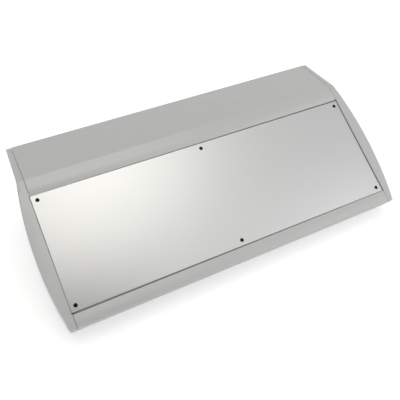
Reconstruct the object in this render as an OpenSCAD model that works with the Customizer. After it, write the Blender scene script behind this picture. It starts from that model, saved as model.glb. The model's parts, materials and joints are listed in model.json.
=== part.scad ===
// Desktop console enclosure with a sloping panel between two extrusions and two bulging end cheeks.
// Millimetres. +Z is up, the front is at -Y, and the feet stand on Z = 0.
// On the slope, v runs up the panel from its front edge and n points out of its face.

/* [Panel] */
// Width of the panel
panel_w = 421; // [300:1:520]
// Height of the panel, measured up the slope
panel_h = 137.5; // [115:0.5:180]
// Thickness of the panel
panel_t = 3; // [2:0.5:4]
// Gap between the panel and the extrusions
panel_gap = 1; // [0.6:0.1:1.4]
// Gap between the panel and the cheeks
side_gap = 0.7; // [0.6:0.1:1.2]
// How far the panel's face lies below the frame
panel_recess = 1.5; // [0.5:0.1:2.5]
// Share of the gap that the panel takes up at its ends by sitting slightly turned
panel_turn = 0.72; // [0:0.02:0.74]
// Share of the gap by which the panel sits up the slope
panel_lift = 0.2; // [0:0.05:0.2]
// Share of the side gap by which the panel sits to the left
panel_shift = 0.25; // [0:0.05:0.3]
// Slope of the panel against the table
slope = 30; // [22:1:38]

/* [Panel screws] */
// Screw centre to the panel's side edge
screw_inset_x = 6.7; // [5:0.1:10]
// Screw centre to the panel's front or rear edge
screw_inset_y = 6.5; // [6.2:0.1:9]
// Thread diameter of the panel screws
panel_screw_d = 2.5; // [2:0.5:3]
// Head diameter of the panel screws
panel_screw_head_d = 4.7; // [4.4:0.1:6]
// Overall length of the panel screws
panel_screw_len = 8; // [7:0.5:12]
// Width of the threaded strips under the panel
strip_w = 9; // [8:0.5:11]
// Thickness of the threaded strips
strip_t = 3; // [2:0.5:4]

/* [Front profile] */
// Length of the lip in front of the panel
lip_len = 16.5; // [14:0.5:24]
// Rise of the lip at the crease along its middle
lip_crown = 0.6; // [0.2:0.1:1]
// Radius of the nose at the front of the lip
nose_r = 2.2; // [1:0.1:3]
// Lean of the nose's face, in degrees beyond square to the panel
nose_lean = 2; // [1:0.5:4]
// Height of the panel's front edge above the underside
front_rise = 31; // [28:1:45]
// Depth of the flange that the base plate is screwed to
front_flange = 16; // [13:0.5:24]

/* [Rear profile] */
// Length of the shoulder behind the panel
shoulder_len = 20.5; // [17:0.5:30]
// Rise of the shoulder at the bend along it
shoulder_crown = 1; // [0.4:0.1:1.4]
// Share of the shoulder in front of that bend
shoulder_bend = 0.3; // [0.3:0.05:0.6]
// Length of the level deck
deck_len = 66; // [50:1:90]
// Radius of the bend between the shoulder and the deck
knee_r = 6; // [3:0.5:12]
// Spacing of the low ribs along the deck
rib_pitch = 16.4; // [10:0.2:24]
// First rib behind the bend
rib_start = 17.4; // [8:0.2:24]
// Width of a rib
rib_w = 4; // [2:0.2:6]
// Height of a rib before its top is rounded
rib_h = 0.5; // [0.2:0.05:0.8]
// Height of the drip edge that hides the rear panel's top
drip_edge = 7; // [5:0.5:12]

/* [Extrusions] */
// Wall of both extrusions
wall = 2.5; // [2:0.1:3.5]
// Thickness of the ledges under the panel
ledge_t = 2.2; // [1.6:0.1:3]
// Wall of the channels that hold the threaded strips
channel_wall = 1.8; // [1.2:0.1:3]
// Radius of the edges along the panel's gap
gap_edge_r = 1; // [0.4:0.1:1.2]

/* [Cheeks] */
// Thickness of a cheek at the bend between the shoulder and the deck
cheek_t = 8.5; // [7.5:0.1:10]
// Thickness of a cheek at the rear
cheek_rear_t = 6.6; // [6:0.1:7.5]
// How far a cheek bulges beside the panel
cheek_bulge = 8.5; // [4:0.1:16]
// How far the bulge's highest place lies behind the middle
bulge_back = 2; // [0:0.5:6]
// Radius of the cheeks' upper outer edges
cheek_edge_r = 2; // [0.6:0.1:2.6]
// Wall of the cheeks over their pockets
cheek_wall = 2.6; // [2:0.1:4]
// Width of the rim round a cheek's pocket
cheek_rim = 6.5; // [6:0.5:8]
// How far the cheeks reach in over the ends of the extrusions
cheek_lap = 1.1; // [0.8:0.1:1.6]
// Width and depth of the shadow line between a cheek and the extrusions
seam = 0.6; // [0.3:0.1:1]
// How far the deck overhangs the cheeks at the rear
deck_overhang = 0.4; // [0:0.1:3]
// Radius of a cheek's upper rear corner
cheek_rear_r = 2.5; // [1:0.5:8]
// Radius of a cheek's outer front corner
front_corner_r = 3.5; // [1:0.5:5]
// Radius of a cheek's outer rear corner
rear_corner_r = 2; // [0.5:0.5:4]
// Thread diameter of the cheek screws
cheek_screw_d = 4; // [3:0.5:5]
// Overall length of the cheek screws
cheek_screw_len = 16; // [12:1:30]

/* [Base and rear] */
// Sheet thickness of the base plate
base_t = 2; // [1.5:0.5:3]
// Height of the base plate's fold at the rear
base_fold = 14; // [12:1:24]
// Thickness of the rear panel
rear_panel_t = 2; // [1.5:0.5:3]
// Thread diameter of the base, rear and foot screws
case_screw_d = 3; // [2.5:0.5:4]
// Overall length of the base, rear and foot screws
case_screw_len = 8; // [7:0.5:10]

/* [Feet] */
// Diameter of a rubber foot
foot_d = 15; // [12:0.5:22]
// Height of a rubber foot
foot_h = 5; // [4:0.5:8]
// Foot centre to the cheek
foot_inset_x = 34; // [20:1:60]
// Foot centre to the rear edge of the base plate, or to the flange at the front
foot_inset_y = 26; // [18:1:40]

/* [Inside] */
// Spacing of the board pillars across the width
pillar_pitch_x = 150; // [80:1:220]
// Spacing of the board pillars front to rear
pillar_pitch_y = 80; // [50:1:100]
// Height of the board pillars
pillar_h = 8; // [5:1:15]
// Thread diameter of the earth stud
earth_d = 4; // [3:0.5:5]
// Length of the earth stud above the base plate
earth_len = 12; // [10:1:20]

/* [Clearances] */
// Clearance round a screw's shank, on the radius
screw_clear = 0.05; // [0.02:0.01:0.2]
// Clearance between sheets and strips and what holds them
slide_clear = 0.2; // [0.1:0.05:0.4]

/* [Hidden] */
$fn = 48;

paint_grey = "#bdbebb";
satin_silver = "#d9d9d7";
zinc = "#b9bdc0";
screw_black = "#1c1c1d";
rubber_black = "#222222";

// Depth that a cut runs past the face it opens
over = 1;
// Steps in a rounded corner of an outline
corner_steps = 6;
// How far a cheek's edge rounding ends outside the two faces that it joins, so that it crosses them
edge_lift = 0.05;
// Share of its shorter side over which a crease is rounded: softly, or sharply along the lip
soft_share = 0.8;
sharp_share = 0.28;

// Levels and places of the frame
frame_n = panel_recess;
lip_rear_v = -panel_gap;
lip_front_v = lip_rear_v - lip_len;
shoulder_v = panel_h + panel_gap;
knee_v = shoulder_v + shoulder_len;
base_z = foot_h;
edge_z = base_z + front_rise;
knee_dy = knee_v * cos(slope) - frame_n * sin(slope);
knee_dz = knee_v * sin(slope) + frame_n * cos(slope);
lip_rise = atan(2 * lip_crown / lip_len);
nose_v = lip_front_v + nose_r * (cos(lip_rise) + sin(nose_lean)) / cos(lip_rise - nose_lean);
nose_n = frame_n + nose_r * (sin(lip_rise) - cos(nose_lean)) / cos(lip_rise - nose_lean);
nose_dy = nose_v * cos(slope) - nose_n * sin(slope) - nose_r;
edge_y = -(nose_dy + knee_dy + deck_len) / 2;
deck_z = edge_z + knee_dz;
rear_y = edge_y + knee_dy + deck_len;
rib_count = floor((deck_len - rib_start - rib_w / 2 - nose_r) / rib_pitch) + 1;
knee_y = edge_y + knee_dy;
opening_x = panel_w / 2 + side_gap;
frame_x = opening_x - cheek_lap;
panel_skew = -asin(panel_turn * panel_gap / (panel_w / 2));

// Rear panel and its slot under the deck
slot_rear_y = rear_y - wall;
slot_front_y = slot_rear_y - rear_panel_t - 2 * slide_clear;
rear_panel_y = slot_front_y + slide_clear;
slot_lip_y = slot_front_y - wall;
rear_panel_top = deck_z - wall - slide_clear;
drip_r = 0.6;

// Channels for the threaded strips
lower_screw_v = screw_inset_y;
upper_screw_v = panel_h - screw_inset_y;
channel_half = strip_w / 2 + slide_clear;
channel_roof_n = -panel_t - ledge_t;
channel_floor_n = channel_roof_n - strip_t - 2 * slide_clear;
channel_end_n = channel_floor_n - channel_wall;
channel_hook = 1.8;

// Cheeks
cheek_rear_y = rear_y - deck_overhang;
cheek_flat_x = frame_x + cheek_t;
bulge_v = (knee_v + lip_front_v) / 2 + bulge_back;
bulge_half = knee_v - bulge_v;
bulge_r = (bulge_half * bulge_half + cheek_bulge * cheek_bulge) / (2 * cheek_bulge);
bulge_x = cheek_flat_x + cheek_bulge - bulge_r;
bulge_reach = cheek_t + cheek_bulge;
bulge_deep = knee_v + deck_len + front_rise;
bulge_fn = 360;
side_taper = atan((cheek_t - cheek_rear_t) / deck_len);
side_lean = atan(tan(slope) * sin(side_taper));

// Cheek screws and the ports that they enter
port_wall = 1.9;
port_sink = 0.6;
boss_wall = 1.6;
head_sink = 0.8;
port_bore_r = cheek_screw_d / 2 + screw_clear;
port_r = port_bore_r + port_wall;
boss_r = port_r + boss_wall;
port_off = wall + port_r - port_sink;
cheek_head_d = cheek_screw_d * 1.88;
cheek_head_x = frame_x + cheek_rear_t - head_sink;

// Base plate
base_front_y = nose_at(wall, base_z)[0] + slide_clear;
base_rear_y = slot_front_y;
base_half_x = frame_x - slide_clear;
flange_z = base_z + base_t;
flange_rear_y = nose_at(wall, flange_z + wall)[0] + front_flange;
flange_screw_y = flange_rear_y - case_screw_d * 1.7;
flange_screw_inset = 40;
flange_screw_xs = [-1, -1 / 3, 1 / 3, 1] * (frame_x - flange_screw_inset);
lug = 11;
lug_h = 9;
lug_x = frame_x - lug / 2;
lug_shares = [0.42, 0.95];
lug_ys = [for (share = lug_shares) edge_y + panel_h * share];
case_head_d = case_screw_d * 1.83;
rear_screw_z = base_z + base_fold - case_screw_d * 1.5;
rear_screw_inset = 24;
rear_screw_xs = [-1, -1 / 3, 1 / 3, 1] * (frame_x - rear_screw_inset);

// Feet
foot_x = frame_x - foot_inset_x;
foot_over_flange = 10;
foot_front_y = base_front_y + front_flange + foot_inset_y - foot_over_flange;
foot_rear_y = base_rear_y - foot_inset_y;
foot_seat_z = foot_h * 0.5;
foot_taper = 1;
foot_rim_r = 1;
nut_h = case_screw_d * 0.8;

// Board pillars and earth terminal
pillar_y = (foot_front_y + foot_rear_y) / 2;
pillar_af = 5.5;
pillar_bore_r = 1.25;
pillar_floor = 1;
earth_inset = 22;
earth_y = foot_rear_y - earth_inset;
washer_h = earth_d * 0.2;

// Point on the section plane for a place on the slope
function at(v, n) = [
    edge_y + v * cos(slope) - n * sin(slope),
    edge_z + v * sin(slope) + n * cos(slope)
];

// Point at height z on the nose's face, or inside it by the given depth
function nose_at(depth, z) =
    let (top = at(lip_front_v + depth, frame_n))
    [top[0] + (top[1] - z) * tan(slope + nose_lean), z];

// Outer side of a right cheek beside the deck, at a place along the slope
function side_x(v) = cheek_flat_x - (v - knee_v) * tan(side_taper) / cos(slope);

// A corner of an outline: its place and its radius
function corner(p, r = 0) = [p[0], p[1], r];
function flat(c) = [c[0], c[1]];
function unit(a) = a / norm(a);

// Outline through the given corners, with an arc at each corner that has a radius
function rounded(corners) =
    let (last = len(corners) - 1)
    [for (i = [0 : last])
        each arc(
            flat(corners[i == 0 ? last : i - 1]), corners[i], flat(corners[i == last ? 0 : i + 1])
        )];

function arc(before, c, after) =
    let (
        p = flat(c),
        a = unit(before - p),
        b = unit(after - p),
        half = acos(a * b) / 2,
        centre = p + unit(a + b) * c[2] / sin(half),
        start = p + a * c[2] / tan(half),
        turn = 180 - 2 * half,
        side = cross(a, b) > 0 ? -1 : 1
    )
    c[2] == 0 ? [p] : [for (k = [0 : corner_steps])
        let (t = side * turn * k / corner_steps, s = start - centre)
        centre + [s[0] * cos(t) - s[1] * sin(t), s[0] * sin(t) + s[1] * cos(t)]];

// Radius that rounds a corner over a share of its shorter side
function crease_r(before, p, after, share) =
    let (a = before - p, b = after - p)
    share * min(norm(a), norm(b)) * tan(acos(unit(a) * unit(b)) / 2);

// Corners of a rib on the deck, from its rear foot to its front foot
function rib(y) =
    let (rear = [y + rib_w / 2, deck_z], top = [y, deck_z + rib_h], front = [y - rib_w / 2, deck_z])
    [corner(rear), corner(top, crease_r(rear, top, front, soft_share)), corner(front)];

// Side outline of a cheek, or the same outline drawn in by a depth
function cheek_corners(depth) = [
    corner(at(lip_front_v + depth, frame_n - depth), max(nose_r - depth, 0)),
    corner(nose_at(depth, base_z + depth), max(nose_r - depth, 0)),
    corner([cheek_rear_y - depth, base_z + depth]),
    corner([cheek_rear_y - depth, deck_z - depth], max(cheek_rear_r - depth, 0)),
    corner(at(knee_v - depth * tan(slope / 2), frame_n - depth), max(knee_r - depth, 0))
];

// Centres of the screw ports on the section plane
front_ports = [
    at(lip_front_v + port_off, frame_n - port_off),
    nose_at(port_off, flange_z + port_off)
];
rear_ports = [
    at(shoulder_v + port_off, frame_n - port_off),
    [slot_lip_y - port_r + port_sink, deck_z - port_off]
];

// Extrudes a section across the width, between two places
module across(x0, x1) {
    translate([x0, 0, 0])
        rotate([90, 0, 90])
            linear_extrude(x1 - x0)
                children();
}

// Puts a drawing made on the panel, with its z out of the face, on the slope
module on_slope() {
    translate([0, edge_y, edge_z])
        rotate([slope, 0, 0])
            children();
}

module section_on_slope() {
    translate([edge_y, edge_z])
        rotate(slope)
            children();
}

module block(low, high) {
    translate(low)
        square(high - low);
}

// The panel as it was fitted, slightly off the middle of its opening and turned
module on_panel() {
    on_slope()
        translate([-panel_shift * side_gap, panel_h / 2 + panel_lift * panel_gap, 0])
            rotate(panel_skew)
                translate([0, -panel_h / 2, 0])
                    children();
}

module panel_screw_places() {
    half_x = panel_w / 2 - screw_inset_x;
    for (x = [-half_x, 0, half_x], v = [lower_screw_v, upper_screw_v])
        on_panel()
            translate([x, v, 0])
                children();
}

// Countersunk screw with a hexagon socket: its head's face at z = 0, its shank down
module countersunk_screw(d, head_d, length) {
    cone_h = (head_d - d) / 2;
    difference() {
        union() {
            translate([0, 0, -cone_h])
                cylinder(h = cone_h, d1 = d, d2 = head_d);
            translate([0, 0, -length])
                cylinder(h = length - cone_h / 2, d = d);
        }
        translate([0, 0, -cone_h * 0.75])
            cylinder(h = cone_h, d = head_d * 0.45, $fn = 6);
    }
}

// Room for a countersunk screw: clear on its shank, seated on its cone
module countersink(d, head_d, length) {
    cone_h = (head_d - d) / 2;
    translate([0, 0, -cone_h])
        cylinder(h = cone_h, d1 = d, d2 = head_d);
    translate([0, 0, -length])
        cylinder(h = length, r = d / 2 + screw_clear);
    cylinder(h = over, d = head_d);
}

// Pan-head screw with a hexagon socket: it seats at z = 0, its shank down
module pan_screw(d, head_d, length) {
    head_h = d * 0.6;
    difference() {
        union() {
            intersection() {
                cylinder(h = head_h, d = head_d);
                translate([0, 0, head_h - head_d * 0.8])
                    sphere(r = head_d * 0.8);
            }
            translate([0, 0, -length])
                cylinder(h = length + head_h / 4, d = d);
        }
        translate([0, 0, head_h * 0.4])
            cylinder(h = head_h, d = d * 0.75, $fn = 6);
    }
}

// Channel that hangs under a ledge and holds a threaded strip, about the screw line at v = 0
module strip_channel(to_left, to_right) {
    difference() {
        block([-to_left, channel_end_n], [to_right, -panel_t]);
        block([-channel_half, channel_floor_n], [channel_half, channel_roof_n]);
        block([-channel_half + channel_hook, channel_end_n - over],
              [channel_half - channel_hook, channel_roof_n]);
    }
}

module discs(centres, radius) {
    for (c = centres)
        translate(c)
            circle(r = radius);
}

module rear_section() {
    front = at(shoulder_v, frame_n);
    bend = at(shoulder_v + shoulder_bend * shoulder_len, frame_n + shoulder_crown);
    knee = at(knee_v, frame_n);
    lower = [
        corner(front, gap_edge_r),
        corner(at(shoulder_v, -panel_t)),
        corner(at(shoulder_v + wall, -panel_t)),
        corner(at(shoulder_v + wall, frame_n - wall)),
        corner(at(knee_v - wall * tan(slope / 2), frame_n - wall)),
        corner([slot_lip_y, deck_z - wall]),
        corner([slot_lip_y, deck_z - drip_edge]),
        corner([slot_front_y, deck_z - drip_edge]),
        corner([slot_front_y, deck_z - wall]),
        corner([slot_rear_y, deck_z - wall]),
        corner([slot_rear_y, deck_z - drip_edge]),
        corner([rear_y, deck_z - drip_edge], drip_r),
        corner([rear_y, deck_z], nose_r)
    ];
    ribs = [for (i = [rib_count - 1 : -1 : 0]) each rib(knee_y + rib_start + i * rib_pitch)];
    upper = [corner(knee, knee_r), corner(bend, crease_r(knee, bend, front, soft_share))];
    difference() {
        union() {
            polygon(rounded(concat(lower, ribs, upper)));
            section_on_slope()
                translate([upper_screw_v, 0])
                    strip_channel(channel_half + channel_wall, shoulder_v + wall - upper_screw_v);
            discs(rear_ports, port_r);
        }
        discs(rear_ports, port_bore_r);
    }
}

module front_section() {
    rear = at(lip_rear_v, frame_n);
    crease = at((lip_front_v + lip_rear_v) / 2, frame_n + lip_crown);
    front = at(lip_front_v, frame_n);
    shell = [
        corner(rear, gap_edge_r),
        corner(crease, crease_r(rear, crease, front, sharp_share)),
        corner(front, nose_r),
        corner(nose_at(0, base_z), nose_r / 2),
        corner(nose_at(wall, base_z)),
        corner(nose_at(wall, flange_z)),
        corner([flange_rear_y, flange_z]),
        corner([flange_rear_y, flange_z + wall]),
        corner(nose_at(wall, flange_z + wall)),
        corner(at(lip_front_v + wall, frame_n - wall)),
        corner(at(lip_rear_v - wall, frame_n - wall)),
        corner(at(lip_rear_v - wall, -panel_t)),
        corner(at(lip_rear_v, -panel_t))
    ];
    difference() {
        union() {
            polygon(rounded(shell));
            section_on_slope()
                translate([lower_screw_v, 0])
                    strip_channel(lower_screw_v - lip_rear_v + wall, channel_half + channel_wall);
            discs(front_ports, port_r);
        }
        discs(front_ports, port_bore_r);
    }
}

// Clear holes through a ledge for the panel screws
module ledge_holes() {
    panel_screw_places()
        translate([0, 0, -panel_t - ledge_t - over])
            cylinder(h = ledge_t + 2 * over, r = panel_screw_d / 2 + slide_clear);
}

module rear_profile() {
    color(paint_grey)
        difference() {
            across(-frame_x, frame_x) rear_section();
            ledge_holes();
        }
}

module front_profile() {
    color(paint_grey)
        difference() {
            across(-frame_x, frame_x) front_section();
            ledge_holes();
            for (x = flange_screw_xs)
                translate([x, flange_screw_y, flange_z - over])
                    cylinder(h = wall + 2 * over, r = case_screw_d / 2 + screw_clear);
        }
}

// Outer form of a right cheek with plain edges, drawn in by a depth: a cylinder whose axis stands
// square to the panel, and a side beside the deck that runs into it at the crease
module cheek_form(depth) {
    front = knee_v - lug;
    rear = knee_v + 2 * deck_len;
    side = [[side_x(front) - depth, front], [side_x(rear) - depth, rear]];
    on_slope()
        translate([0, 0, -bulge_deep]) {
            translate([bulge_x, bulge_v, 0])
                cylinder(h = 2 * bulge_deep, r = bulge_r - depth, $fn = bulge_fn);
            linear_extrude(2 * bulge_deep)
                polygon([[0, front], side[0], side[1], [0, rear]]);
        }
}

// All that lies between two places along the slope, square to the panel
module between(v0, v1) {
    on_slope()
        translate([0, v0, -bulge_deep])
            cube([panel_w, v1 - v0, 2 * bulge_deep]);
}

// Section that the rounding of an upper outer edge takes away, with the edge at the origin
module edge_section() {
    centre = edge_lift - cheek_edge_r;
    difference() {
        block([centre, centre], [over, over]);
        translate([centre, centre])
            circle(r = cheek_edge_r);
    }
}

// What the rounding of a right cheek's upper edge takes away beside the panel
module bulge_edge_cut() {
    intersection() {
        on_slope()
            translate([bulge_x, bulge_v, frame_n])
                rotate_extrude($fn = bulge_fn)
                    translate([bulge_r, 0])
                        edge_section();
        between(-bulge_deep, knee_v + edge_lift);
    }
}

// What the rounding of a right cheek's upper edge takes away beside the deck
module deck_edge_cut() {
    intersection() {
        translate([cheek_flat_x, knee_y, deck_z])
            rotate([90, 0, side_taper])
                translate([0, 0, -2 * deck_len])
                    linear_extrude(4 * deck_len)
                        edge_section();
        between(knee_v, bulge_deep);
    }
}

// What the rounding of a right cheek's outer front corner takes away
module front_corner_cut() {
    r = front_corner_r;
    v = lip_front_v + r;
    turn = asin((bulge_v - v) / (bulge_r - r));
    on_slope()
        translate([bulge_x + (bulge_r - r) * cos(turn), v, -bulge_deep])
            linear_extrude(2 * bulge_deep)
                difference() {
                    block([0, -r - over], [r + over, -r * sin(turn)]);
                    circle(r = r);
                }
}

// What the rounding of a right cheek's outer rear corner takes away
module rear_corner_cut() {
    r = rear_corner_r;
    y = cheek_rear_y - r;
    x = cheek_flat_x - r / cos(side_taper) - (y - knee_y) * tan(side_taper);
    translate([x, y, deck_z])
        rotate([0, -side_lean, 0])
            translate([0, 0, -2 * deck_z])
                linear_extrude(3 * deck_z)
                    difference() {
                        block([0, r * sin(side_taper)], [2 * r + over, r + over]);
                        circle(r = r);
                    }
}

module cheek_screw_places() {
    for (c = concat(front_ports, rear_ports))
        translate([cheek_head_x, c[0], c[1]])
            rotate([0, 90, 0])
                children();
}

// Outer form of a right cheek, stepped in along the extrusions for the shadow line
// and cut back beside the panel for its gap
module cheek_solid() {
    difference() {
        intersection() {
            union() {
                across(frame_x, frame_x + bulge_reach + over)
                    polygon(rounded(cheek_corners(seam)));
                across(frame_x + seam, frame_x + bulge_reach + over)
                    polygon(rounded(cheek_corners(0)));
            }
            cheek_form(0);
        }
        bulge_edge_cut();
        deck_edge_cut();
        front_corner_cut();
        rear_corner_cut();
        on_slope()
            translate([frame_x - over, lip_rear_v, -panel_t])
                cube([opening_x - frame_x + over, shoulder_v - lip_rear_v, panel_t + frame_n + over]);
    }
}

// Pocket in a right cheek's inner side, with a boss left standing round each screw
module cheek_pocket() {
    intersection() {
        across(frame_x - over, frame_x + bulge_reach)
            difference() {
                polygon(rounded(cheek_corners(cheek_rim)));
                discs(concat(front_ports, rear_ports), boss_r);
            }
        cheek_form(cheek_wall);
    }
}

// Ledge under the panel's side edge and lugs over the base plate, out to the middle of the cheek's wall
module cheek_ledges() {
    rest_v0 = lower_screw_v + channel_half + channel_wall + slide_clear;
    rest_v1 = upper_screw_v - channel_half - channel_wall - slide_clear;
    intersection() {
        union() {
            on_slope()
                translate([frame_x - lug / 2, rest_v0, -panel_t - ledge_t])
                    cube([lug / 2 + bulge_reach, rest_v1 - rest_v0, ledge_t]);
            for (y = lug_ys)
                translate([frame_x - lug, y - lug / 2, flange_z])
                    cube([lug + bulge_reach, lug, lug_h]);
        }
        cheek_form(cheek_wall / 2);
    }
}

module right_cheek_shape() {
    difference() {
        union() {
            difference() {
                cheek_solid();
                cheek_pocket();
            }
            cheek_ledges();
        }
        cheek_screw_places() {
            countersink(cheek_screw_d, cheek_head_d, cheek_t + over);
            cylinder(h = bulge_reach, d = cheek_head_d + 2 * slide_clear);
        }
        for (y = lug_ys)
            translate([lug_x, y, flange_z - over])
                cylinder(h = lug_h, r = case_screw_d / 2 + screw_clear);
    }
}

module right_cheek() {
    color(paint_grey) right_cheek_shape();
}

module left_cheek() {
    color(paint_grey) mirror([1, 0, 0]) right_cheek_shape();
}

module right_screws_shape() {
    cheek_screw_places()
        countersunk_screw(cheek_screw_d, cheek_head_d, cheek_screw_len);
}

module right_cheek_screws() {
    color(zinc) right_screws_shape();
}

module left_cheek_screws() {
    color(zinc) mirror([1, 0, 0]) right_screws_shape();
}

module front_panel() {
    color(satin_silver)
        difference() {
            on_panel()
                translate([-panel_w / 2, 0, -panel_t])
                    cube([panel_w, panel_h, panel_t]);
            panel_screw_places()
                countersink(panel_screw_d, panel_screw_head_d, panel_t + over);
        }
}

module front_panel_screws() {
    color(screw_black)
        panel_screw_places()
            countersunk_screw(panel_screw_d, panel_screw_head_d, panel_screw_len);
}

// Threaded strip that rests on its channel's hooks
module threaded_strip(v) {
    difference() {
        on_slope()
            translate([-base_half_x, v - strip_w / 2, channel_roof_n - strip_t - slide_clear])
                cube([2 * base_half_x, strip_w, strip_t]);
        panel_screw_places()
            translate([0, 0, channel_end_n - over])
                cylinder(h = -channel_end_n, r = panel_screw_d / 2 + screw_clear);
    }
}

module upper_threaded_strip() {
    color(zinc) threaded_strip(upper_screw_v);
}

module lower_threaded_strip() {
    color(zinc) threaded_strip(lower_screw_v);
}

module base_screw_places() {
    for (x = flange_screw_xs)
        translate([x, flange_screw_y, base_z])
            children();
    for (x = [-lug_x, lug_x], y = lug_ys)
        translate([x, y, base_z])
            children();
}

module foot_places() {
    for (x = [-foot_x, foot_x], y = [foot_front_y, foot_rear_y])
        translate([x, y, 0])
            children();
}

module pillar_places() {
    for (x = [-1, 1] * pillar_pitch_x / 2, y = [-1, 1] * pillar_pitch_y / 2)
        translate([x, pillar_y + y, base_z + base_t])
            children();
}

module rear_screw_places() {
    for (x = rear_screw_xs)
        translate([x, rear_panel_y + rear_panel_t, rear_screw_z])
            rotate([-90, 0, 0])
                children();
}

module base_plate() {
    section = [
        corner([base_front_y, base_z]),
        corner([base_rear_y, base_z], base_t),
        corner([base_rear_y, base_z + base_fold]),
        corner([base_rear_y - base_t, base_z + base_fold]),
        corner([base_rear_y - base_t, base_z + base_t]),
        corner([base_front_y, base_z + base_t])
    ];
    hole_r = case_screw_d / 2 + slide_clear;
    color(zinc)
        difference() {
            across(-base_half_x, base_half_x)
                polygon(rounded(section));
            base_screw_places()
                translate([0, 0, -over])
                    cylinder(h = base_t + 2 * over, r = hole_r);
            foot_places()
                translate([0, 0, base_z - over])
                    cylinder(h = base_t + 2 * over, r = hole_r);
            rear_screw_places()
                translate([0, 0, -case_screw_len])
                    cylinder(h = case_screw_len, r = case_screw_d / 2 + screw_clear);
            translate([0, earth_y, base_z - over])
                cylinder(h = base_t + 2 * over, r = earth_d / 2 + screw_clear);
        }
}

module base_screws() {
    color(zinc)
        base_screw_places()
            rotate([180, 0, 0])
                pan_screw(case_screw_d, case_head_d, case_screw_len);
}

module rear_panel() {
    color(paint_grey)
        difference() {
            translate([-base_half_x, rear_panel_y, base_z])
                cube([2 * base_half_x, rear_panel_t, rear_panel_top - base_z]);
            rear_screw_places()
                translate([0, 0, -rear_panel_t - over])
                    cylinder(h = rear_panel_t + 2 * over, r = case_screw_d / 2 + slide_clear);
        }
}

module rear_panel_screws() {
    color(screw_black)
        rear_screw_places()
            pan_screw(case_screw_d, case_head_d, case_screw_len);
}

// Rubber foot with a recess for its screw, standing on z = 0
module foot_shape() {
    outline = [
        corner([0, 0]),
        corner([foot_d / 2 - foot_taper, 0], foot_rim_r),
        corner([foot_d / 2, base_z]),
        corner([0, base_z])
    ];
    difference() {
        rotate_extrude()
            polygon(rounded(outline));
        translate([0, 0, -over])
            cylinder(h = foot_seat_z + over, r = case_head_d / 2 + slide_clear);
        cylinder(h = base_z + over, r = case_screw_d / 2 + slide_clear);
    }
}

module foot_at(x, y) {
    color(rubber_black)
        translate([x, y, 0])
            foot_shape();
}

module foot_front_left() foot_at(-foot_x, foot_front_y);
module foot_front_right() foot_at(foot_x, foot_front_y);
module foot_rear_left() foot_at(-foot_x, foot_rear_y);
module foot_rear_right() foot_at(foot_x, foot_rear_y);

module foot_screws() {
    color(zinc)
        foot_places()
            translate([0, 0, foot_seat_z])
                rotate([180, 0, 0])
                    pan_screw(case_screw_d, case_head_d, case_screw_len);
}

module nut(d, h) {
    difference() {
        cylinder(h = h, d = d * 2.1, $fn = 6);
        translate([0, 0, -over])
            cylinder(h = h + 2 * over, r = d / 2 + screw_clear);
    }
}

module foot_nuts() {
    color(zinc)
        foot_places()
            translate([0, 0, base_z + base_t])
                nut(case_screw_d, nut_h);
}

module board_pillars() {
    color(zinc)
        pillar_places()
            difference() {
                cylinder(h = pillar_h, d = pillar_af / cos(30), $fn = 6);
                translate([0, 0, pillar_floor])
                    cylinder(h = pillar_h, r = pillar_bore_r);
            }
}

module earth_stud() {
    color(zinc)
        translate([0, earth_y, base_z])
            cylinder(h = base_t + earth_len, d = earth_d);
}

module earth_washer() {
    color(zinc)
        translate([0, earth_y, base_z + base_t])
            difference() {
                cylinder(h = washer_h, d = earth_d * 2.25);
                translate([0, 0, -over])
                    cylinder(h = washer_h + 2 * over, r = earth_d / 2 + screw_clear);
            }
}

module earth_nut() {
    color(zinc)
        translate([0, earth_y, base_z + base_t + washer_h])
            nut(earth_d, earth_d * 0.8);
}

rear_profile();
front_profile();
left_cheek();
right_cheek();
front_panel();
front_panel_screws();
upper_threaded_strip();
lower_threaded_strip();
left_cheek_screws();
right_cheek_screws();
base_plate();
base_screws();
rear_panel();
rear_panel_screws();
foot_front_left();
foot_front_right();
foot_rear_left();
foot_rear_right();
foot_screws();
foot_nuts();
board_pillars();
earth_stud();
earth_washer();
earth_nut();
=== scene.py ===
"""Finishes the console enclosure's pieces, gives them their materials and sets a studio round them.

Metres, in the frame of the solids: +Z is up, the front is at -Y and the feet stand on Z = 0.
"""

import json
import math

import bmesh
import bpy
from bpy.props import FloatProperty, FloatVectorProperty, PointerProperty
from bpy.types import Operator, Panel, PropertyGroup
from mathutils import Euler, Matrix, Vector


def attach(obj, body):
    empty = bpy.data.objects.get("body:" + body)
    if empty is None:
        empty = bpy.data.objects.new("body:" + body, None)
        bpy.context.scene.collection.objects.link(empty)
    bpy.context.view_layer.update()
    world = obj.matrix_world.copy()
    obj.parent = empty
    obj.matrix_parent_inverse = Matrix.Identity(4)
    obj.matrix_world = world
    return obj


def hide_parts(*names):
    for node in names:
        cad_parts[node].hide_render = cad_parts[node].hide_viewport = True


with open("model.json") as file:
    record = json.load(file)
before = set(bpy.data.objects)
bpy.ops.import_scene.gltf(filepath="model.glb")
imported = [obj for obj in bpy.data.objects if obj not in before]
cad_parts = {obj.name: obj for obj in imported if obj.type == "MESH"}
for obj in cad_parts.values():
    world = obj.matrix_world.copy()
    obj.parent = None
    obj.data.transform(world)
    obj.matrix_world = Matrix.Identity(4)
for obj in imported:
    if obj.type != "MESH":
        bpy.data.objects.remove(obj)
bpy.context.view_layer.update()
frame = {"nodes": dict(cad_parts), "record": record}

bl_info = {
    "name": "Console Enclosure",
    "version": (1, 0, 0),
    "blender": (4, 5, 0),
    "location": "View3D > Sidebar > Console",
    "description": "Finishes the pieces of a desktop console enclosure and sets its studio",
    "category": "Object",
}

MM = 0.001

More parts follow.
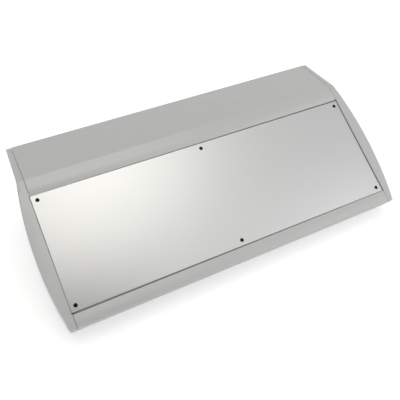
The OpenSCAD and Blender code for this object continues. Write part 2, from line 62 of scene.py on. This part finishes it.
# The panel's slope: its foot, its directions, and where along it the shoulder begins and crests
SLOPE = math.radians(30)
SLOPE_FOOT = Vector((0, -93.915, 36)) * MM
UP_SLOPE = Vector((0, math.cos(SLOPE), math.sin(SLOPE)))
OUTWARD = Vector((0, -math.sin(SLOPE), math.cos(SLOPE)))
SHOULDER_EDGE = 138.4 * MM
SHOULDER_CROWN = 150 * MM

# Corners of a solid's mesh closer than this are one
MERGE_GAP = 0.002 * MM
# Faces that meet below the first bend are one, shading runs over bends below the second, and a
# sheet's edges are broken where they bend more than the third
FLAT_BEND = math.radians(0.5)
SMOOTH_BEND = math.radians(30)
SHARP_BEND = math.radians(60)
EDGE_SEGMENTS = 2
ROUND_PROFILE = 0.5
LARGE_FACE_WEIGHT = 80

# Band in which most values of a noise texture lie
NOISE_LOW = 0.3
NOISE_HIGH = 0.7

# Camera of the photograph
CAMERA_PLACE = Vector((-227.248, -427.375, 499.534)) * MM
CAMERA_TURN = tuple(math.radians(a) for a in (45.83, 0.176, -26.949))
CAMERA_LENS_MM = 46.2593
SENSOR_MM = 36

# Middles of the softboxes, and what they point at
SOFTBOX_PLACE = Vector((0.02, -0.12, 1.2))
SOFTBOX_AIM = Vector((0, -0.03, 0.07))
FILL_PLACE = Vector((0.65, -0.6, 0.62))
FILL_AIM = Vector((0.15, -0.1, 0.05))

# The tent: the sines of the heights where its walls end and its roof begins, and its bright front
WALL_TOP = math.sin(math.radians(12))
ROOF_FOOT = math.sin(math.radians(25))
FRONT = Vector((0, -0.9, 0.44)).normalized()
FRONT_FOCUS = 4

# The card's gap behind the lens and the sides of its outline, and the side of the square floor
CARD_GAP = 0.02
CARD_SIDES = 64
FLOOR_SIDE = 12


def linear(hex_colour):
    """Linear red, green and blue of an sRGB hex colour."""
    parts = [int(hex_colour[i : i + 2], 16) / 255 for i in (1, 3, 5)]
    return tuple(p / 12.92 if p <= 0.04045 else ((p + 0.055) / 1.055) ** 2.4 for p in parts)


def shade(base, share):
    """A linear colour made lighter or darker by a share, with the alpha that a node wants."""
    return (*(part * share for part in base), 1)


def length(name, description, default_mm):
    """A size that a user would change, given in millimetres."""
    return FloatProperty(
        name=name,
        description=description,
        default=default_mm * MM,
        min=0,
        precision=5,
        unit="LENGTH",
    )


def colour(name, description, default_hex):
    """A colour that a user would change, given as an sRGB hex value."""
    return FloatVectorProperty(
        name=name,
        description=description,
        default=linear(default_hex),
        min=0,
        max=1,
        subtype="COLOR",
    )


class ConsoleEdges(PropertyGroup):
    """Widths of the broken edges, the joints and the shoulder's rounding"""

    panel: length("Panel edge", "Broken edge round the front and rear panels", 0.25)
    sheet: length("Sheet edge", "Deburred edge of the base plate", 0.2)
    joint: length("Joint", "Hairline gap between an extrusion's end and its cheek", 0.18)
    shoulder: length("Shoulder", "Drop of the rounded shoulder at its edge beside the panel", 1.2)


class ConsoleColours(PropertyGroup):
    """Colours of the finishes"""

    paint: colour("Paint", "Light grey powder coat of the extrusions and the cheeks", "#b6b6b5")
    anodised: colour("Anodised aluminium", "Clear anodised front panel", "#d0d0d0")
    mill: colour("Mill aluminium", "Bare sheet of the base plate", "#c6c8c9")
    black_oxide: colour("Black oxide", "Screws of the front and rear panels", "#262627")
    zinc: colour("Zinc plate", "Strips, screws, nuts and pillars", "#c9ced2")
    rubber: colour("Rubber", "Moulded feet", "#272727")
    floor: colour("Floor", "Pale studio floor", "#e6e6e6")
    lamp: colour("Softbox", "Slightly warm light of the softbox overhead", "#fffdf2")


class ConsoleStudio(PropertyGroup):
    """Light of the studio"""

    tent: FloatProperty(
        name="Tent",
        description="Radiance of the tent's roof, where its walls have 1",
        default=0.72,
        min=0,
    )
    front_lean: FloatProperty(
        name="Front lean",
        description="Share by which the tent is brighter low at the front",
        default=0.5,
        min=0,
    )
    softbox: FloatProperty(
        name="Softbox",
        description="Power of the softbox overhead",
        default=1.72,
        min=0,
        unit="POWER",
    )
    softbox_size: length("Softbox size", "Side of the square softbox overhead", 620)
    fill: FloatProperty(
        name="Fill",
        description="Power of the smaller softbox at the front right",
        default=0.48,
        min=0,
        unit="POWER",
    )
    fill_size: length("Fill size", "Side of the square softbox at the front right", 450)
    card_radius: length("Card radius", "Radius of the black card round the lens", 220)
    floor_glow: FloatProperty(
        name="Floor glow",
        description="Brightness that the floor has for the camera and in mirror images alone",
        default=0.45,
        min=0,
    )


def add(tree, kind, inputs=None, **options):
    """Adds a shader node with its options, and sets or links its inputs by name or number."""
    node = tree.nodes.new("ShaderNode" + kind)
    for name, value in options.items():
        setattr(node, name, value)
    for name, value in (inputs or {}).items():
        if isinstance(value, bpy.types.NodeSocket):
            tree.links.new(value, node.inputs[name])
        else:
            node.inputs[name].default_value = value
    return node


def material(name):
    """An empty material of that name, with its node tree, its object coordinates and its output."""
    made = bpy.data.materials.new(name)
    made.use_nodes = True
    tree = made.node_tree
    tree.nodes.clear()
    place = add(tree, "TexCoord").outputs["Object"]
    output = add(tree, "OutputMaterial")
    return made, tree, place, output


def per_metre(size_mm):
    """Scale of a texture whose features are that many millimetres across."""
    return 1 / (size_mm * MM)


def powder_coat(name):
    """Polyester powder coat, sprayed on and baked: a semi-matt skin with a soft orange peel."""
    peel_mm, cloud_mm, peel_depth_mm = 1.6, 45, 0.05
    darkest, lightest = 0.985, 1.015
    smoothest, roughest = 0.3, 0.38
    made, tree, place, output = material(name)
    base = bpy.context.scene.console_colours.paint
    peel = add(tree, "TexNoise", {"Vector": place, "Scale": per_metre(peel_mm), "Detail": 2.0})
    cloud = add(tree, "TexNoise", {"Vector": place, "Scale": per_metre(cloud_mm), "Detail": 3.0})
    tone = add(
        tree,
        "MixRGB",
        {
            "Fac": cloud.outputs["Fac"],
            "Color1": shade(base, darkest),
            "Color2": shade(base, lightest),
        },
    )
    sheen = add(
        tree,
        "MapRange",
        {
            "Value": peel.outputs["Fac"],
            "From Min": NOISE_LOW,
            "From Max": NOISE_HIGH,
            "To Min": smoothest,
            "To Max": roughest,
        },
    )
    relief = add(
        tree,
        "Bump",
        {"Height": peel.outputs["Fac"], "Strength": 0.12, "Distance": peel_depth_mm * MM},
    )
    skin = add(
        tree,
        "BsdfPrincipled",
        {
            "Base Color": tone.outputs["Color"],
            "Roughness": sheen.outputs["Result"],
            "Normal": relief.outputs["Normal"],
            "IOR": 1.5,
            "Specular IOR Level": 1.0,
        },
    )
    tree.links.new(skin.outputs["BSDF"], output.inputs["Surface"])
    return made


def satin_anodised():
    """Aluminium sheet, bead blasted and clear anodised: an even satin that blurs mirror images."""
    # The blasted grain is finer than this, and is drawn as coarse as it needs to show
    grit_mm, cloud_mm, grit_depth_mm = 0.7, 60, 0.01
    darkest, lightest = 0.985, 1.015
    smoothest, roughest = 0.34, 0.4
    made, tree, place, output = material("satin_anodised_aluminium")
    base = bpy.context.scene.console_colours.anodised
    grit = add(tree, "TexNoise", {"Vector": place, "Scale": per_metre(grit_mm), "Detail": 3.0})
    cloud = add(tree, "TexNoise", {"Vector": place, "Scale": per_metre(cloud_mm), "Detail": 2.0})
    tone = add(
        tree,
        "MixRGB",
        {
            "Fac": cloud.outputs["Fac"],
            "Color1": shade(base, darkest),
            "Color2": shade(base, lightest),
        },
    )
    satin = add(
        tree,
        "MapRange",
        {
            "Value": grit.outputs["Fac"],
            "From Min": NOISE_LOW,
            "From Max": NOISE_HIGH,
            "To Min": smoothest,
            "To Max": roughest,
        },
    )
    relief = add(
        tree,
        "Bump",
        {"Height": grit.outputs["Fac"], "Strength": 0.05, "Distance": grit_depth_mm * MM},
    )
    skin = add(
        tree,
        "BsdfPrincipled",
        {
            "Base Color": tone.outputs["Color"],
            "Metallic": 1.0,
            "Roughness": satin.outputs["Result"],
            "Normal": relief.outputs["Normal"],
        },
    )
    tree.links.new(skin.outputs["BSDF"], output.inputs["Surface"])
    return made


def mill_aluminium():
    """Rolled aluminium sheet as it left the mill: faint streaks along the rolling direction."""
    streak_mm, stretch = 1.2, 0.03
    darkest, lightest = 0.94, 1.04
    smoothest, roughest = 0.3, 0.44
    made, tree, place, output = material("mill_finish_aluminium")
    base = bpy.context.scene.console_colours.mill
    along = add(tree, "Mapping", {"Vector": place, "Scale": (stretch, 1, 1)})
    streak = add(
        tree,
        "TexNoise",
        {"Vector": along.outputs["Vector"], "Scale": per_metre(streak_mm), "Detail": 4.0},
    )
    tone = add(
        tree,
        "MixRGB",
        {
            "Fac": streak.outputs["Fac"],
            "Color1": shade(base, darkest),
            "Color2": shade(base, lightest),
        },
    )
    gloss = add(
        tree,
        "MapRange",
        {
            "Value": streak.outputs["Fac"],
            "From Min": NOISE_LOW,
            "From Max": NOISE_HIGH,
            "To Min": smoothest,
            "To Max": roughest,
        },
    )
    skin = add(
        tree,
        "BsdfPrincipled",
        {
            "Base Color": tone.outputs["Color"],
            "Metallic": 1.0,
            "Roughness": gloss.outputs["Result"],
        },
    )
    tree.links.new(skin.outputs["BSDF"], output.inputs["Surface"])
    return made


def plated_steel(name, base, patch_mm, smoothest, roughest):
    """Steel with a thin finish over its machined surface: a metal sheen that varies in patches."""
    darkest, lightest = 0.88, 1.1
    made, tree, place, output = material(name)
    patch = add(tree, "TexNoise", {"Vector": place, "Scale": per_metre(patch_mm), "Detail": 3.0})
    tone = add(
        tree,
        "MixRGB",
        {
            "Fac": patch.outputs["Fac"],
            "Color1": shade(base, darkest),
            "Color2": shade(base, lightest),
        },
    )
    gloss = add(
        tree,
        "MapRange",
        {
            "Value": patch.outputs["Fac"],
            "From Min": NOISE_LOW,
            "From Max": NOISE_HIGH,
            "To Min": smoothest,
            "To Max": roughest,
        },
    )
    skin = add(
        tree,
        "BsdfPrincipled",
        {
            "Base Color": tone.outputs["Color"],
            "Metallic": 1.0,
            "Roughness": gloss.outputs["Result"],
        },
    )
    tree.links.new(skin.outputs["BSDF"], output.inputs["Surface"])
    return made


def moulded_rubber():
    """Nitrile rubber from a blasted mould: nearly black and matt, with a fine grain."""
    # The mould's grain is finer than this, and is drawn as coarse as it needs to show
    grain_mm, grain_depth_mm = 0.5, 0.05
    darkest, lightest = 0.85, 1.15
    smoothest, roughest = 0.6, 0.75
    made, tree, place, output = material("moulded_rubber")
    base = bpy.context.scene.console_colours.rubber
    grain = add(tree, "TexNoise", {"Vector": place, "Scale": per_metre(grain_mm), "Detail": 2.0})
    matt = add(
        tree,
        "MapRange",
        {
            "Value": grain.outputs["Fac"],
            "From Min": NOISE_LOW,
            "From Max": NOISE_HIGH,
            "To Min": smoothest,
            "To Max": roughest,
        },
    )
    relief = add(
        tree,
        "Bump",
        {"Height": grain.outputs["Fac"], "Strength": 0.3, "Distance": grain_depth_mm * MM},
    )
    tone = add(
        tree,
        "MixRGB",
        {
            "Fac": grain.outputs["Fac"],
            "Color1": shade(base, darkest),
            "Color2": shade(base, lightest),
        },
    )
    skin = add(
        tree,
        "BsdfPrincipled",
        {
            "Base Color": tone.outputs["Color"],
            "Roughness": matt.outputs["Result"],
            "Normal": relief.outputs["Normal"],
            "IOR": 1.52,
        },
    )
    tree.links.new(skin.outputs["BSDF"], output.inputs["Surface"])
    return made


def only(piece):
    """Selects one object, and nothing else, as the one that operators act on."""
    bpy.ops.object.select_all(action="DESELECT")
    piece.select_set(True)
    bpy.context.view_layer.objects.active = piece


def merged_copy(node, whole_faces=True):
    """A copy of a solid's mesh, its loose triangles merged and its flat faces whole if wanted."""
    only(frame["nodes"][node])
    bpy.ops.object.duplicate()
    piece = bpy.context.active_object
    if piece is frame["nodes"][node]:
        raise RuntimeError(f"no copy was made of {node}")
    piece.name = node + "_finished"
    piece.data.name = piece.name
    bpy.ops.mesh.customdata_custom_splitnormals_clear()
    bpy.ops.object.mode_set(mode="EDIT")
    bpy.ops.mesh.select_mode(type="EDGE")
    bpy.ops.mesh.select_all(action="SELECT")
    bpy.ops.mesh.remove_doubles(threshold=MERGE_GAP)
    if whole_faces:
        bpy.ops.mesh.dissolve_limited(angle_limit=FLAT_BEND)
    bpy.ops.object.mode_set(mode="OBJECT")
    return piece


def break_edges(piece, width):
    """Rounds the piece's sharp convex edges."""
    only(piece)
    bpy.ops.object.mode_set(mode="EDIT")
    bpy.ops.mesh.select_mode(type="EDGE")
    bpy.ops.mesh.select_all(action="DESELECT")
    mesh = bmesh.from_edit_mesh(piece.data)
    for edge in mesh.edges:
        is_sharp = len(edge.link_faces) == 2 and edge.calc_face_angle() > SHARP_BEND
        edge.select_set(is_sharp and edge.is_convex)
    bmesh.update_edit_mesh(piece.data)
    bpy.ops.mesh.bevel(
        offset=width, segments=EDGE_SEGMENTS, profile=ROUND_PROFILE, clamp_overlap=False
    )
    bpy.ops.object.mode_set(mode="OBJECT")


def open_joints(piece, width):
    """Shortens an extrusion at both ends by the width of a joint."""
    half = max(corner.co.x for corner in piece.data.vertices)
    for corner in piece.data.vertices:
        corner.co.x *= 1 - width / half


def round_shoulder(piece, drop):
    """Lowers the shoulder's outer skin towards the panel, along a parabola."""
    for corner in piece.data.vertices:
        along = (corner.co - SLOPE_FOOT).dot(UP_SLOPE)
        is_skin = (corner.co - SLOPE_FOOT).dot(OUTWARD) > 0
        if is_skin and SHOULDER_EDGE <= along <= SHOULDER_CROWN:
            share = (SHOULDER_CROWN - along) / (SHOULDER_CROWN - SHOULDER_EDGE)
            corner.co -= OUTWARD * drop * share**2


def smooth(piece):
    """Shades a piece smooth over gentle bends, with its normals weighted to its large faces."""
    only(piece)
    bpy.ops.object.shade_smooth_by_angle(angle=SMOOTH_BEND)
    weighted = piece.modifiers.new("weighted_normals", "WEIGHTED_NORMAL")
    weighted.keep_sharp = True
    weighted.weight = LARGE_FACE_WEIGHT
    bpy.ops.object.modifier_apply(modifier=weighted.name)


def settle(piece, nodes, finish):
    """Gives a finished piece its material, and lets it stand for its solids."""
    piece.data.materials.clear()
    piece.data.materials.append(finish)
    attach(piece, "root")
    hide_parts(*nodes)


def finish_sheet(node, edge, finish):
    """Breaks the edges of a sheet, smooths it and gives it its finish."""
    piece = merged_copy(node)
    break_edges(piece, edge)
    smooth(piece)
    settle(piece, [node], finish)


def finish_as_built(node, finish):
    """Smooths a piece whose solid has its edges and radii already, and gives it its finish."""
    piece = merged_copy(node, whole_faces=False)
    smooth(piece)
    settle(piece, [node], finish)


class CONSOLE_OT_extrusions(Operator):
    """Rounds the shoulder, opens the joints at the ends and powder coats the two extrusions"""

    bl_idname = "console.extrusions"
    bl_label = "Extrusions"

    def execute(self, context):
        edges = context.scene.console_edges
        paint = powder_coat("powder_coated_extrusion")
        for node in ("front_profile", "rear_profile"):
            piece = merged_copy(node)
            open_joints(piece, edges.joint)
            if node == "rear_profile":
                round_shoulder(piece, edges.shoulder)
            smooth(piece)
            settle(piece, [node], paint)
        return {"FINISHED"}


class CONSOLE_OT_cheeks(Operator):
    """Smooths the cast cheeks' bulging faces and rounded edges, and powder coats them"""

    bl_idname = "console.cheeks"
    bl_label = "Cheeks"

    def execute(self, context):
        paint = powder_coat("powder_coated_casting")
        for node in ("left_cheek", "right_cheek"):
            finish_as_built(node, paint)
        return {"FINISHED"}


class CONSOLE_OT_front_panel(Operator):
    """Breaks the front panel's edges and gives it its satin finish"""

    bl_idname = "console.front_panel"
    bl_label = "Front panel"

    def execute(self, context):
        edge = context.scene.console_edges.panel
        finish_sheet("front_panel", edge, satin_anodised())
        return {"FINISHED"}


class CONSOLE_OT_panel_screws(Operator):
    """Blackens the screws of the front and rear panels"""

    bl_idname = "console.panel_screws"
    bl_label = "Panel screws"

    def execute(self, context):
        base = context.scene.console_colours.black_oxide
        black = plated_steel("black_oxide_steel", base, patch_mm=0.8, smoothest=0.35, roughest=0.5)
        for node in ("front_panel_screws", "rear_panel_screws"):
            finish_as_built(node, black)
        return {"FINISHED"}


class CONSOLE_OT_sheets(Operator):
    """Finishes the base plate and the rear panel"""

    bl_idname = "console.sheets"
    bl_label = "Base plate and rear panel"

    def execute(self, context):
        edges = context.scene.console_edges
        finish_sheet("base_plate", edges.sheet, mill_aluminium())
        finish_sheet("rear_panel", edges.panel, powder_coat("powder_coated_sheet"))
        return {"FINISHED"}


class CONSOLE_OT_hardware(Operator):
    """Zinc plates the strips, screws, nuts, pillars and the earth terminal"""

    bl_idname = "console.hardware"
    bl_label = "Plated hardware"

    def execute(self, context):
        base = context.scene.console_colours.zinc
        zinc = plated_steel("zinc_plated_steel", base, patch_mm=2.5, smoothest=0.26, roughest=0.38)
        for subpart in frame["record"]["subparts"]:
            if subpart["material_slot"] == "zinc_steel":
                finish_as_built(subpart["node"], zinc)
        return {"FINISHED"}


class CONSOLE_OT_feet(Operator):
    """Gives the feet their moulded rubber"""

    bl_idname = "console.feet"
    bl_label = "Feet"

    def execute(self, context):
        rubber = moulded_rubber()
        for node in ("foot_front_left", "foot_front_right", "foot_rear_left", "foot_rear_right"):
            finish_as_built(node, rubber)
        return {"FINISHED"}


def pale_floor(studio, base):
    """Matt white paint: it takes the object's soft shadow, and reads as white to the camera."""
    speck_mm = 3
    darkest, lightest = 0.99, 1.01
    made, tree, place, output = material("pale_studio_floor")
    path = add(tree, "LightPath").outputs
    seen = add(
        tree,
        "Math",
        {0: path["Is Camera Ray"], 1: path["Is Glossy Ray"]},
        operation="MAXIMUM",
    )
    shown = add(
        tree,
        "Math",
        {0: seen.outputs[0], 1: path["Is Transmission Ray"]},
        operation="MAXIMUM",
    )
    glow = add(tree, "Math", {0: shown.outputs[0], 1: studio.floor_glow}, operation="MULTIPLY")
    speck = add(tree, "TexNoise", {"Vector": place, "Scale": per_metre(speck_mm)})
    tone = add(
        tree,
        "MixRGB",
        {
            "Fac": speck.outputs["Fac"],
            "Color1": shade(base, darkest),
            "Color2": shade(base, lightest),
        },
    )
    matt = add(tree, "BsdfDiffuse", {"Color": tone.outputs["Color"]})
    white = add(tree, "Emission", {"Strength": glow.outputs[0]})
    both = add(tree, "AddShader", {0: matt.outputs[0], 1: white.outputs[0]})
    tree.links.new(both.outputs[0], output.inputs["Surface"])
    return made


def black_card():
    """Black felt on a card: nearly no light comes off it, so its mirror image shades the front."""
    nap_mm = 2
    darkest, lightest = 0.015, 0.025
    made, tree, place, output = material("black_felt_card")
    nap = add(tree, "TexNoise", {"Vector": place, "Scale": per_metre(nap_mm)})
    tone = add(
        tree,
        "MapRange",
        {"Value": nap.outputs["Fac"], "To Min": darkest, "To Max": lightest},
    )
    felt = add(tree, "BsdfDiffuse", {"Color": tone.outputs["Result"]})
    tree.links.new(felt.outputs["BSDF"], output.inputs["Surface"])
    return made


def tent_world(studio):
    """A tent with white walls and a slightly greyer roof, brighter towards the front."""
    world = bpy.data.worlds.new("studio_tent")
    world.use_nodes = True
    tree = world.node_tree
    tree.nodes.clear()
    towards = add(tree, "TexCoord").outputs["Generated"]
    front = add(tree, "VectorMath", {0: towards, 1: FRONT}, operation="DOT_PRODUCT")
    ahead = add(tree, "Math", {0: front.outputs["Value"], 1: 0.0}, operation="MAXIMUM")
    lobe = add(tree, "Math", {0: ahead.outputs[0], 1: FRONT_FOCUS}, operation="POWER")
    lean = add(
        tree,
        "Math",
        {0: lobe.outputs[0], 1: studio.front_lean, 2: 1.0},
        operation="MULTIPLY_ADD",
    )
    height = add(tree, "SeparateXYZ", {"Vector": towards}).outputs["Z"]
    level = add(
        tree,
        "MapRange",
        {
            "Value": height,
            "From Min": WALL_TOP,
            "From Max": ROOF_FOOT,
            "To Min": 1.0,
            "To Max": studio.tent,
        },
        interpolation_type="SMOOTHSTEP",
    )
    strength = add(
        tree,
        "Math",
        {0: lean.outputs[0], 1: level.outputs["Result"]},
        operation="MULTIPLY",
    )
    sky = add(tree, "Background", {"Color": (1, 1, 1, 1), "Strength": strength.outputs[0]})
    output = add(tree, "OutputWorld")
    tree.links.new(sky.outputs[0], output.inputs["Surface"])
    return world


def add_softbox(name, place, aim, size, power):
    """A square softbox that lights the object and stays out of the picture itself."""
    bpy.ops.object.select_all(action="DESELECT")
    turn = (place - aim).to_track_quat("Z", "Y").to_euler()
    bpy.ops.object.light_add(type="AREA", location=place, rotation=turn)
    softbox = bpy.context.active_object
    softbox.name = name
    softbox.data.size = size
    softbox.data.energy = power
    softbox.visible_camera = False
    return softbox


class CONSOLE_OT_studio(Operator):
    """Sets the pale floor, the white tent, two softboxes, and the camera before its black card"""

    bl_idname = "console.studio"
    bl_label = "Studio"

    def execute(self, context):
        scene = context.scene
        studio = scene.console_studio
        bpy.ops.object.select_all(action="DESELECT")
        bpy.ops.mesh.primitive_plane_add(size=FLOOR_SIDE, location=(0, 0, 0))
        floor = context.active_object
        floor.name = "floor"
        floor.data.materials.append(pale_floor(studio, scene.console_colours.floor))

        overhead = add_softbox(
            "softbox_overhead", SOFTBOX_PLACE, SOFTBOX_AIM, studio.softbox_size, studio.softbox
        )
        overhead.data.color = scene.console_colours.lamp
        add_softbox("softbox_front_right", FILL_PLACE, FILL_AIM, studio.fill_size, studio.fill)

        bpy.ops.object.camera_add(location=CAMERA_PLACE, rotation=CAMERA_TURN)
        camera = context.active_object
        camera.data.lens = CAMERA_LENS_MM
        camera.data.sensor_width = SENSOR_MM
        scene.camera = camera

        behind_lens = Euler(CAMERA_TURN).to_matrix() @ Vector((0, 0, CARD_GAP))
        bpy.ops.object.select_all(action="DESELECT")
        bpy.ops.mesh.primitive_circle_add(
            vertices=CARD_SIDES,
            radius=studio.card_radius,
            fill_type="NGON",
            location=CAMERA_PLACE + behind_lens,
            rotation=CAMERA_TURN,
        )
        card = context.active_object
        card.name = "card_round_lens"
        card.data.materials.append(black_card())
        card.visible_camera = False

        scene.world = tent_world(studio)
        scene.view_settings.view_transform = "Standard"
        return {"FINISHED"}


MAKERS = (
    CONSOLE_OT_extrusions,
    CONSOLE_OT_cheeks,
    CONSOLE_OT_front_panel,
    CONSOLE_OT_panel_screws,
    CONSOLE_OT_sheets,
    CONSOLE_OT_hardware,
    CONSOLE_OT_feet,
    CONSOLE_OT_studio,
)
GROUPS = {
    "console_edges": ConsoleEdges,
    "console_colours": ConsoleColours,
    "console_studio": ConsoleStudio,
}


class CONSOLE_PT_pieces(Panel):
    """Lists what the add-on makes, with its sizes, colours and light"""

    bl_idname = "CONSOLE_PT_pieces"
    bl_label = "Console enclosure"
    bl_space_type = "VIEW_3D"
    bl_region_type = "UI"
    bl_category = "Console"

    def draw(self, context):
        for maker in MAKERS:
            self.layout.operator(maker.bl_idname)
        for group, kind in GROUPS.items():
            box = self.layout.box()
            for name in kind.__annotations__:
                box.prop(getattr(context.scene, group), name)


CLASSES = (*GROUPS.values(), *MAKERS, CONSOLE_PT_pieces)


def register():
    for cls in CLASSES:
        bpy.utils.register_class(cls)
    for name, group in GROUPS.items():
        setattr(bpy.types.Scene, name, PointerProperty(type=group))


def unregister():
    for name in GROUPS:
        delattr(bpy.types.Scene, name)
    for cls in reversed(CLASSES):
        bpy.utils.unregister_class(cls)


def main():
    register()
    bpy.ops.console.extrusions()
    bpy.ops.console.cheeks()
    bpy.ops.console.front_panel()
    bpy.ops.console.panel_screws()
    bpy.ops.console.sheets()
    bpy.ops.console.hardware()
    bpy.ops.console.feet()
    bpy.ops.console.studio()


if __name__ == "__main__":
    main()
